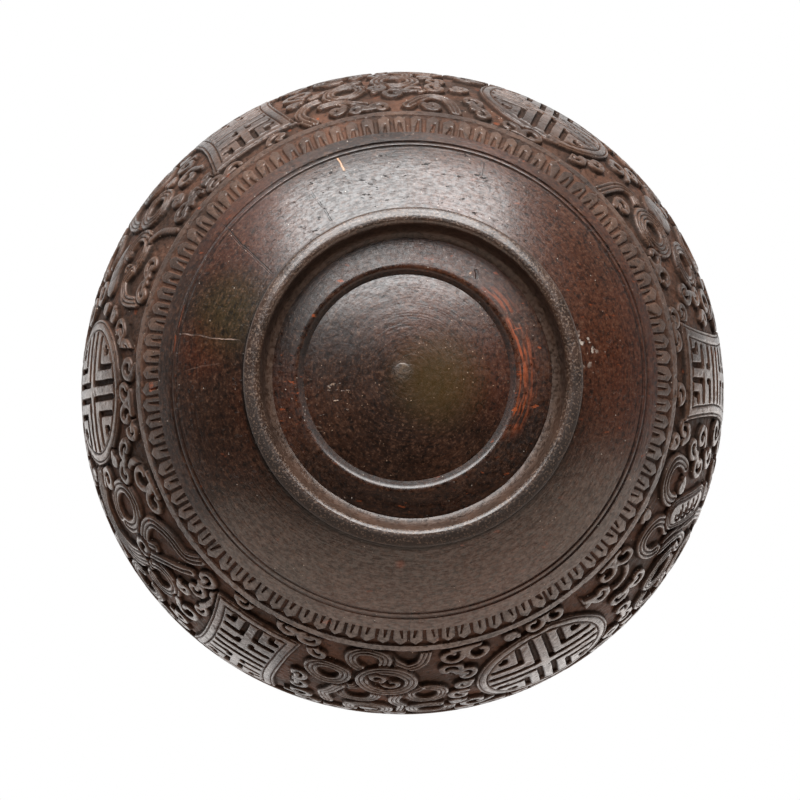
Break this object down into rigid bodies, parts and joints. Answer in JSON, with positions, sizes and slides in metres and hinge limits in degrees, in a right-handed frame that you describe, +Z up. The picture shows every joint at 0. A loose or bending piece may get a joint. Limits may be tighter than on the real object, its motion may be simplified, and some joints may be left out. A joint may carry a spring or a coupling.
{
  "type": "coconut shell bowl",
  "caption": "Round bowl turned and carved from a coconut shell, with a glued foot ring, a plugged eye end and a thin metal liner turned over its rim.",
  "frame": {"origin": "centre of the foot ring's underside, where the bowl stands", "axes": "+Z up along the turning axis, from the foot to the mouth"},
  "size_m": [0.13, 0.13, 0.0712],
  "materials": {
    "shell": "polished dark coconut shell, carved in relief",
    "foot": "turned, worn dull and pitted",
    "plug": "turned, satin",
    "tin": "dull spun tin"
  },
  "bodies": {
    "root": {"carved_shell": "shell", "foot_ring": "foot", "base_plug": "plug", "liner": "tin"}
  },
  "joints": []
}
